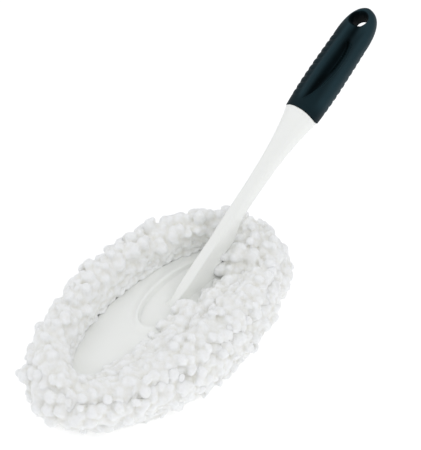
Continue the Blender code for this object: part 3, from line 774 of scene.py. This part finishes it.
def row_tree(name, tufts):
    """Sets loops or stitches along rows, each pointing along its row's own reach. With tufts, smaller ones
    stand between them near their tips."""
    tree, given = start_tree(name, (
        ("Rows", "Geometry", None), ("Shapes", "Collection", None), ("Spacing", "Float", 0.0074),
        ("Thickness", "Float", 0.0046), ("Sway", "Float", 0.3), ("Scatter", "Float", 0.002),
        ("Seed", "Int", 7), ("Finish", "Material", None)))

    curve = add_node(tree, "GeometryNodeMeshToCurve", {0: given["Rows"]}).outputs[0]
    shapes = add_node(tree, "GeometryNodeCollectionInfo",
                      {0: given["Shapes"], "Separate Children": True, "Reset Children": True}).outputs[0]

    def layer(first, pitch, girth, start, end, spread):
        """One layer of loops: its first seed, its shares of the spacing and thickness, the share of the reach
        where it starts and ends, and how far it strays."""
        draws = []
        for step, (kind, low, high) in enumerate((
                ("FLOAT_VECTOR", (-1, -1, -1), (1, 1, 1)), ("FLOAT_VECTOR", (-1, -1, -1), (1, 1, 1)),
                ("FLOAT", 0.0, 2 * math.pi), ("FLOAT", 0.76, 1.2), ("FLOAT", 0.80, 1.12), ("INT", 0, 97))):
            seed = add_node(tree, "ShaderNodeMath", {0: given["Seed"], 1: float(first + step)}).outputs[0]
            at, out = {"FLOAT_VECTOR": (0, 0), "FLOAT": (2, 1), "INT": (4, 2)}[kind]
            draws.append(add_node(tree, "FunctionNodeRandomValue", {at: low, at + 1: high, 8: seed},
                                  data_type=kind).outputs[out])
        stray, swing, spin, plump, stretch, pick = draws
        reach = add_node(tree, "GeometryNodeInputNamedAttribute", {"Name": "reach"},
                         data_type="FLOAT_VECTOR").outputs[0]
        length = add_node(tree, "ShaderNodeVectorMath", {0: reach}, operation="LENGTH").outputs["Value"]
        spacing, scatter, lean, wide, tall = (
            add_node(tree, "ShaderNodeMath", {0: one, 1: two}, operation="MULTIPLY").outputs[0]
            for one, two in ((given["Spacing"], pitch), (given["Scatter"], spread), (length, given["Sway"]),
                             (given["Thickness"], plump), (length, stretch)))
        lean, wide, tall = (
            add_node(tree, "ShaderNodeMath", {0: one, 1: two}, operation="MULTIPLY").outputs[0]
            for one, two in ((lean, 1.0 + 2 * start), (wide, girth), (tall, end - start)))
        foot, stray, swing = (
            add_node(tree, "ShaderNodeVectorMath", {0: vector, "Scale": size}, operation="SCALE").outputs[0]
            for vector, size in ((reach, start), (stray, scatter), (swing, lean)))
        shift, aim = (add_node(tree, "ShaderNodeVectorMath", {0: one, 1: two}).outputs[0]
                      for one, two in ((foot, stray), (reach, swing)))
        along = add_node(tree, "GeometryNodeResampleCurve", {"Curve": curve, "Length": spacing},
                         mode="LENGTH").outputs[0]
        placed = add_node(tree, "GeometryNodeSetPosition", {"Geometry": along, "Offset": shift}).outputs[0]
        facing = add_node(tree, "FunctionNodeAlignRotationToVector", {"Vector": aim}).outputs[0]
        rolled = add_node(tree, "FunctionNodeAxisAngleToRotation",
                          {"Axis": (0, 0, 1), "Angle": spin}).outputs[0]
        turned = add_node(tree, "FunctionNodeRotateRotation", {0: facing, 1: rolled},
                          rotation_space="LOCAL").outputs[0]
        size = add_node(tree, "ShaderNodeCombineXYZ", {0: wide, 1: wide, 2: tall}).outputs[0]
        return add_node(tree, "GeometryNodeInstanceOnPoints", {
            "Points": placed, "Instance": shapes, "Pick Instance": True, "Rotation": turned,
            "Instance Index": pick, "Scale": size}).outputs[0]

    copies = layer(1, 1.0, 1.0, 0.0, 1.0, 1.0)
    if tufts:
        joined = add_node(tree, "GeometryNodeJoinGeometry")
        # A close bed of short thick loops fills the hollows between the long ones.
        bed = add_node(tree, "GeometryNodeInputNamedAttribute", {"Name": "bed"}, data_type="FLOAT").outputs[0]
        for found in (copies, layer(11, 1.5, 0.76, 0.58, 1.0, 2.2), layer(21, 0.62, bed, 0.0, 0.76, 0.5)):
            tree.links.new(found, joined.inputs[0])
        copies = joined.outputs[0]
    return end_tree(tree, copies, given["Finish"])


def tuft_tree():
    """Raises round tufts on the joined loops, keeps them off the ground and marks tips and hollows, where the
    pile's colour paints shade.
    """
    tree, given = start_tree("tufted_surface", (
        ("Loops", "Geometry", None), ("Lump height", "Float", 0.002), ("Lump size", "Float", 0.004),
        ("Ground", "Float", 0.0006), ("Finish", "Material", None)))
    place, normal = (add_node(tree, "GeometryNodeInput" + kind).outputs[0] for kind in ("Position", "Normal"))
    scale = add_node(tree, "ShaderNodeMath", {0: 1.0, 1: given["Lump size"]}, operation="DIVIDE").outputs[0]
    lumps = add_node(tree, "ShaderNodeTexNoise",
                     {"Scale": scale, "Detail": 2.0, "Roughness": 0.55}).outputs[0]
    centred = add_node(tree, "ShaderNodeMath", {0: lumps, 1: -0.46}).outputs[0]
    height = add_node(tree, "ShaderNodeMath", {0: centred, 1: given["Lump height"]},
                      operation="MULTIPLY").outputs[0]
    push = add_node(tree, "ShaderNodeVectorMath", {0: normal, "Scale": height}, operation="SCALE").outputs[0]
    lumpy = add_node(tree, "GeometryNodeSetPosition", {"Geometry": given["Loops"], "Offset": push}).outputs[0]
    x, y, z = add_node(tree, "ShaderNodeSeparateXYZ", {0: place}).outputs
    raised = add_node(tree, "ShaderNodeMath", {0: z, 1: given["Ground"]}, operation="MAXIMUM").outputs[0]
    kept = add_node(tree, "ShaderNodeCombineXYZ", {0: x, 1: y, 2: raised}).outputs[0]
    flat = add_node(tree, "GeometryNodeSetPosition", {"Geometry": lumpy, "Position": kept}).outputs[0]
    # How far a point stands out of its surroundings, from the blurred surface: 0 in hollows, 1 on tips. The
    # pile's colour paints shade into the hollows by it.
    around = add_node(tree, "GeometryNodeBlurAttribute", {"Iterations": 10}, data_type="FLOAT_VECTOR")
    tree.links.new(place, next(found for found in around.inputs if found.enabled))
    blurred = next(found for found in around.outputs if found.enabled)
    away = add_node(tree, "ShaderNodeVectorMath", {0: place, 1: blurred}, operation="SUBTRACT").outputs[0]
    proud = add_node(tree, "ShaderNodeVectorMath", {0: away, 1: normal},
                     operation="DOT_PRODUCT").outputs["Value"]
    share = add_node(tree, "ShaderNodeMapRange", {0: proud, 1: -0.0012, 2: 0.0012}).outputs[0]
    marked = add_node(tree, "GeometryNodeStoreNamedAttribute", {
        "Geometry": flat, "Name": "tip", "Value": share}).outputs[0]
    return end_tree(tree, marked, given["Finish"])


def loop_shapes(name, variants, bulges, seed, lumpiness=0.08, bend=0.22):
    """Small knobbly loops, one unit long and one in radius, in a collection that isn't in the scene."""
    draw = random.Random(seed)
    shapes = bpy.data.collections.new(name)
    segments = 10
    for number in range(variants):
        lean = (draw.uniform(-bend, bend), draw.uniform(-bend, bend))
        waist = draw.uniform(0.80, 1.12)
        rows = []
        for height, radius in bulges:
            radius *= waist if 0.3 < height < 0.75 else 1.0
            ring = []
            for i in range(segments):
                angle = 2 * math.pi * (i + 0.5 * (len(rows) % 2)) / segments
                r = radius * (1 + draw.uniform(-lumpiness, lumpiness))
                ring.append((r * math.cos(angle) + lean[0] * height**2, r * math.sin(angle)
                             + lean[1] * height**2, height))
            rows.append(ring)
        rows.append([(lean[0], lean[1], 1.0)])
        points, faces = skin(rows)
        data = bpy.data.meshes.new(f"{name}_{number + 1}")
        data.from_pydata(points, [], faces)
        tips = data.attributes.new("tip", "FLOAT", "POINT")
        tips.data.foreach_set("value", [point[2] for point in points])
        obj = bpy.data.objects.new(data.name, data)
        face_outwards(obj)
        shapes.objects.link(obj)
    return shapes


def drop_shapes(shapes):
    for obj in list(shapes.objects):
        data = obj.data
        bpy.data.objects.remove(obj)
        bpy.data.meshes.remove(data)
    bpy.data.collections.remove(shapes)


# How far loops flop inwards over the plate, and how much lower they stand, by the angle round the outline
FLOP = ((0, 18, 150, 180, 194, 210, 226, 241, 262, 275, 292, 315, 345, 360),
        (0.008, 0, 0, 0, 0.005, 0.014, 0.023, 0.028, 0.035, 0.038, 0.032, 0.034, 0.033, 0.008))
LOWER = ((0, 22, 45, 60, 90, 125, 150, 178, 205, 228, 245, 335, 360),
         (0.004, 0.003, 0, -0.002, -0.003, 0, 0, 0.006, 0.011, 0.006, 0, 0.001, 0.004))
# How much further out they reach, for every row and for the low rows alone
SPREAD = ((0, 20, 45, 65, 95, 125, 156, 180, 320, 345, 360),
          (-0.006, -0.005, 0, 0.005, 0.003, -0.002, 0.003, 0, -0.001, -0.005, -0.006))
TUCK = ((0, 165, 185, 200, 225, 265, 300, 360), (0, 0, -0.004, -0.0085, -0.006, 0, 0, 0))
# On the near side the pile slopes down to the foot of the handle's blade, as if brushed over: the slope's
# height at the middle line, how much lower that is from the bend on, its rise outwards, and where it ends
SLOPE_FOOT, SLOPE_DROP, SLOPE_RISE, SLOPE_BEND, SLOPE_END = 0.0338, 0.0030, 0.636, (280, 295), (322, 337)


def guide_lines(name, rings):
    """Closed lines of points. A ring holds its points, each one's reach, which is the way and length of the
    loop that stands there, and the thickness of the bed under it."""
    points, reaches, beds, edges = [], [], [], []
    for ring, reach, bed in rings:
        start, count = len(points), len(ring)
        edges += [(start + i, start + (i + 1) % count) for i in range(count)]
        points += ring.tolist()
        reaches += reach.tolist()
        beds += [bed] * count
    data = bpy.data.meshes.new(name)
    data.from_pydata(points, edges, [])
    data.attributes.new("reach", "FLOAT_VECTOR", "POINT").data.foreach_set("vector", np.ravel(reaches))
    data.attributes.new("bed", "FLOAT", "POINT").data.foreach_set("value", beds)
    obj = bpy.data.objects.new(name, data)
    bpy.context.scene.collection.objects.link(obj)
    return obj


def pile_lines(name, rows):
    """Guide lines for rows of loops. A row is (base offset, base z, tip offset, tip z, inward flop)."""
    rings = []
    for number, (base_out, base_z, tip_out, tip_z, flop) in enumerate(rows):
        angles = full_turn(288) + number * 0.37
        degrees = np.degrees(angles) % 360
        flopped = np.interp(degrees, *FLOP)
        out = tip_out - flopped * flop + np.interp(degrees, *SPREAD) * np.clip(tip_out / 0.03, 0, 1)
        out += np.interp(degrees, *TUCK) * (tip_z < 0.03) * (tip_out > 0.01)
        height = tip_z - np.interp(degrees, *LOWER) * min(1.0, max(0.0, (tip_z - 0.045) / 0.02))
        slope = (SLOPE_FOOT - SLOPE_DROP * smooth_step(*SLOPE_BEND, degrees)
                 + SLOPE_RISE * np.abs((PLATE_B + out) * np.sin(angles)))
        near = np.clip(flopped / 0.02, 0, 1) * (1 - smooth_step(*SLOPE_END, degrees))
        base = oval(base_out, base_z, angles)
        tip = oval(out, height - near * np.clip(height - slope, 0, 1), angles)
        bed = 1.6 if tip_z < 0.03 else float(np.interp(base_out, (0.006, 0.012), (1.0, 1.6)))
        rings.append((base, tip - base, bed))
    return guide_lines(name, rings)


# Bands of pile: the CAD node that each stands for, and its rows of loops. A row has its base's offset and
# height, its tips' offset and height, and how far the near side flops inwards
PILE_ROWS = {
    "rim_bobbles": ("rim_pile_inner_row", (
        (0.0045, 0.0385, 0.0012, 0.0475, 0.05), (0.0070, 0.0400, 0.0050, 0.0530, 0.25))),
    "crest_loops": ("rim_pile_crest", (
        (0.0160, 0.0440, 0.0345, 0.0565, 0.0), (0.0140, 0.0450, 0.0300, 0.0640, 0.0),
        (0.0120, 0.0450, 0.0235, 0.0685, 0.20), (0.0100, 0.0450, 0.0175, 0.0735, 0.55),
        (0.0085, 0.0440, 0.0105, 0.0675, 0.90), (0.0070, 0.0430, 0.0080, 0.0610, 1.10),
        (0.0060, 0.0420, 0.0060, 0.0545, 1.00), (0.0055, 0.0415, 0.0050, 0.0490, 0.80))),
    "upper_side_loops": ("side_pile_upper", (
        (0.0180, 0.0270, 0.0405, 0.0280, 0.0), (0.0170, 0.0320, 0.0425, 0.0355, 0.0),
        (0.0160, 0.0360, 0.0420, 0.0425, 0.0), (0.0150, 0.0390, 0.0385, 0.0495, 0.0),
        (0.0140, 0.0400, 0.0335, 0.0540, 0.0))),
    "lower_side_loops": ("side_pile_lower", (
        (0.0120, 0.0120, 0.0215, 0.0010, 0.0), (0.0140, 0.0130, 0.0295, 0.0055, 0.0),
        (0.0160, 0.0160, 0.0360, 0.0130, 0.0), (0.0170, 0.0200, 0.0390, 0.0205, 0.0))),
    "underside_loops": ("underside_pile_outer", (
        (0.0060, 0.0150, 0.0140, 0.0000, 0.0), (0.0010, 0.0160, 0.0060, -0.0005, 0.0),
        (-0.0060, 0.0160, -0.0020, -0.0005, 0.0), (-0.0120, 0.0160, -0.0090, -0.0005, 0.0))),
    "underside_centre_loops": ("underside_pile_centre", (
        (-0.0190, 0.0160, -0.0165, -0.0005, 0.0), (-0.0260, 0.0160, -0.0240, -0.0005, 0.0),
        (-0.0330, 0.0160, -0.0315, -0.0005, 0.0), (-0.0395, 0.0160, -0.0390, -0.0005, 0.0))),
}
SPACING_SHARES = {"rim_bobbles": 0.88, "crest_loops": 1.08}


def give_inputs(modifier, values):
    """Sets a Geometry Nodes modifier's inputs by their names."""
    for item in modifier.node_group.interface.items_tree:
        if item.item_type == "SOCKET" and item.in_out == "INPUT" and item.name in values:
            modifier[item.identifier] = values[item.name]


def fill_rows(obj, tree, values, tufted=None):
    """Runs the row tree over guide lines. Pile is then joined into one soft body and tufted."""
    rows = obj.modifiers.new("rows", "NODES")
    rows.node_group = tree
    give_inputs(rows, values)
    if tufted:
        join = obj.modifiers.new("join", "REMESH")
        join.mode, join.voxel_size, join.use_smooth_shade = "VOXEL", bpy.context.scene.brush_pile.grain, True
        soften = obj.modifiers.new("soften", "SMOOTH")
        soften.factor, soften.iterations = 0.5, 2
        tufts = obj.modifiers.new("tufts", "NODES")
        tufts.node_group = tufted
        give_inputs(tufts, values)
    return settle(obj)


def make_pile():
    settings = bpy.context.scene.brush_pile
    finish = chenille()
    tree, tufted = row_tree("rows_of_loops", True), tuft_tree()
    loops = loop_shapes("chenille_loop", 8, (
        (0.0, 0.62), (0.22, 0.84), (0.44, 0.98), (0.62, 0.84), (0.79, 1.08), (0.92, 0.90), (0.985, 0.45)),
        settings.seed)
    bobbles = loop_shapes("chenille_bobble", 6, (
        (0.0, 0.55), (0.25, 0.85), (0.45, 0.95), (0.65, 1.05), (0.82, 0.98), (0.95, 0.62)),
        settings.seed + 1)
    for number, (name, (node, rows)) in enumerate(PILE_ROWS.items()):
        small = name == "rim_bobbles"
        values = {
            "Spacing": settings.spacing * SPACING_SHARES.get(name, 1.0),
            "Thickness": settings.thickness * (0.88 if small else 1.0),
            "Sway": settings.sway * (0.7 if small else 1.0),
            "Scatter": 0.0012 if small else 0.0020,
            "Lump height": settings.lump_height, "Lump size": settings.lump_size,
            "Seed": settings.seed + 10 * number, "Shapes": bobbles if small else loops, "Finish": finish,
        }
        obj = fill_rows(pile_lines(name, rows), tree, values, tufted)
        dress(obj, finish, "cover", [node])
    drop_shapes(loops)
    drop_shapes(bobbles)


def make_stitches(cloth):
    """A seam of short stitches round the cover's band, just under the hem."""
    settings = bpy.context.scene.brush_cover
    tree = row_tree("rows_of_stitches", False)
    shape = loop_shapes("stitch", 1, ((0.0, 0.45), (0.1, 0.9), (0.5, 1.0), (0.9, 0.9)), 3, 0.0, 0.0)
    angles = full_turn(720)
    # A stitch lies along the seam and is 0.62 of the spacing long.
    step = np.stack([-(PLATE_A + 0.001) * np.sin(angles), (PLATE_B + 0.001) * np.cos(angles),
                     np.zeros(len(angles))], axis=1)
    step *= (settings.stitch_spacing * 0.62 / np.linalg.norm(step, axis=1))[:, None]
    obj = guide_lines("seam_stitches", [(oval(0.0010, height, angles), step, 1.0) for height in SEAM_Z])
    fill_rows(obj, tree, {"Shapes": shape, "Finish": cloth, "Spacing": settings.stitch_spacing,
                          "Thickness": 0.00042, "Sway": 0.0, "Scatter": 0.0})
    drop_shapes(shape)
    return obj


class BRUSH_OT_handle(bpy.types.Operator):
    """Moulded handle stem with its blade, foot flange and tang"""
    bl_idname = "brush.handle"
    bl_label = "Handle Stem"

    def execute(self, context):
        dress(make_stem(), polypropylene(), "brush_frame", ["handle_stem"])
        return {"FINISHED"}


class BRUSH_OT_grip(bpy.types.Operator):
    """Rubber grip sleeve with finger ribs, thumb recess and hanging hole"""
    bl_idname = "brush.grip"
    bl_label = "Grip Sleeve"

    def execute(self, context):
        dress(make_grip(), grip_rubber(), "brush_frame", ["grip_sleeve"])
        return {"FINISHED"}


class BRUSH_OT_plate(bpy.types.Operator):
    """Crowned head plate with its scoop, and the steel screws of the foot"""
    bl_idname = "brush.plate"
    bl_label = "Head Plate"

    def execute(self, context):
        plastic = bpy.data.materials["moulded_white_polypropylene"]
        dress(make_plate(), plastic, "brush_frame", ["head_plate"])
        steel = zinc_steel()
        for number in range(1, 5):
            screw = frame["nodes"][f"foot_screw_{number}"]
            screw.data.materials.clear()
            screw.data.materials.append(steel)
        return {"FINISHED"}


class BRUSH_OT_foam(bpy.types.Operator):
    """Closed-cell foam pad under the plate"""
    bl_idname = "brush.foam"
    bl_label = "Foam Pad"

    def execute(self, context):
        pad = dress(make_foam(), eva_foam(), "brush_frame", ["foam_pad"])
        return {"FINISHED"}


class BRUSH_OT_pile(bpy.types.Operator):
    """Rows of looped chenille pile round and under the head"""
    bl_idname = "brush.pile"
    bl_label = "Looped Pile"

    def execute(self, context):
        make_pile()
        return {"FINISHED"}


class BRUSH_OT_cover(bpy.types.Operator):
    """Base cloth of the slip-on cover, with its gathered hem, elastic and seam"""
    bl_idname = "brush.cover"
    bl_label = "Cover Cloth"

    def execute(self, context):
        knit = base_cloth()
        cloth = dress(make_cloth(), knit, "cover", ["cover_backing", "cover_side_band"])
        hem = dress(make_hem(), knit, "cover", ["hem_tunnel"])
        seam = make_stitches(knit)
        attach(seam, "cover")
        elastic = frame["nodes"]["hem_elastic"]
        elastic.data.materials.clear()
        elastic.data.materials.append(elastic_web())
        return {"FINISHED"}


class BRUSH_OT_stage(bpy.types.Operator):
    """Pale floor, soft studio light and the camera"""
    bl_idname = "brush.stage"
    bl_label = "Studio Stage"

    def execute(self, context):
        settings = context.scene.brush_stage
        floor = mesh_object("floor", [(x, y, -0.0002) for x, y in ((-6, -6), (6, -6), (6, 6), (-6, 6))],
                            [(0, 1, 2, 3)], smooth=False)
        floor.data.materials.append(floor_paper())
        world = bpy.data.worlds.new("even_sky")
        world.use_nodes = True
        background = world.node_tree.nodes["Background"]
        background.inputs["Color"].default_value = (*linear("#FBFCFF"), 1)
        background.inputs["Strength"].default_value = settings.sky
        context.scene.world = world

        target = Vector((0.0755, 0.0083, 0.0901))
        azimuth, elevation = math.radians(-48.38), math.radians(43.76)
        back = Vector((math.sin(azimuth) * math.cos(elevation), -math.cos(azimuth) * math.cos(elevation),
                       math.sin(elevation)))
        right = Vector((math.cos(azimuth), math.sin(azimuth), 0))
        up = back.cross(right)
        turn = Matrix((right, up, back)).transposed().to_4x4()
        camera = bpy.data.objects.new("camera", bpy.data.cameras.new("camera"))
        camera.data.lens, camera.data.sensor_width = 131.7, 36.0
        camera.matrix_world = Matrix.Translation(target + back * 1.5) @ turn
        context.scene.collection.objects.link(camera)
        context.scene.camera = camera

        head = Vector((0.0, 0.0, 0.04))
        for name, direction, distance, size, power in (
                ("key_light", up * 0.9 - right * 0.75 + back * 0.55, 1.2, 1.5, settings.key_power),
                ("fill_light", right * 0.6 + back + up * 0.3, 1.4, 1.2, settings.fill_power)):
            light = bpy.data.objects.new(name, bpy.data.lights.new(name, "AREA"))
            light.data.energy, light.data.size = power, size
            way = direction.normalized()
            light.matrix_world = (Matrix.Translation(head + way * distance)
                                  @ way.to_track_quat("Z", "Y").to_matrix().to_4x4())
            context.scene.collection.objects.link(light)
        context.scene.view_settings.view_transform = "Standard"
        return {"FINISHED"}


OPERATORS = (BRUSH_OT_stage, BRUSH_OT_handle, BRUSH_OT_grip, BRUSH_OT_plate, BRUSH_OT_foam, BRUSH_OT_pile,
             BRUSH_OT_cover)


class BRUSH_PT_panel(bpy.types.Panel):
    bl_idname = "BRUSH_PT_panel"
    bl_label = "Wash Brush"
    bl_space_type = "VIEW_3D"
    bl_region_type = "UI"
    bl_category = "Wash Brush"

    def draw(self, context):
        for made in OPERATORS:
            self.layout.operator(made.bl_idname)
        for group in ("brush_handle", "brush_cover", "brush_pile", "brush_stage"):
            settings = getattr(context.scene, group)
            box = self.layout.box()
            for name in settings.__annotations__:
                box.prop(settings, name)


SETTINGS = {"brush_handle": HandleSettings, "brush_cover": CoverSettings, "brush_pile": PileSettings,
            "brush_stage": StageSettings}


def register():
    for group in (*SETTINGS.values(), *OPERATORS, BRUSH_PT_panel):
        bpy.utils.register_class(group)
    for name, group in SETTINGS.items():
        setattr(bpy.types.Scene, name, PointerProperty(type=group))


def unregister():
    for name in SETTINGS:
        delattr(bpy.types.Scene, name)
    for group in reversed((*SETTINGS.values(), *OPERATORS, BRUSH_PT_panel)):
        bpy.utils.unregister_class(group)


def main():
    register()
    for made in OPERATORS:
        group, name = made.bl_idname.split(".")
        getattr(getattr(bpy.ops, group), name)()


if __name__ == "__main__":
    main()
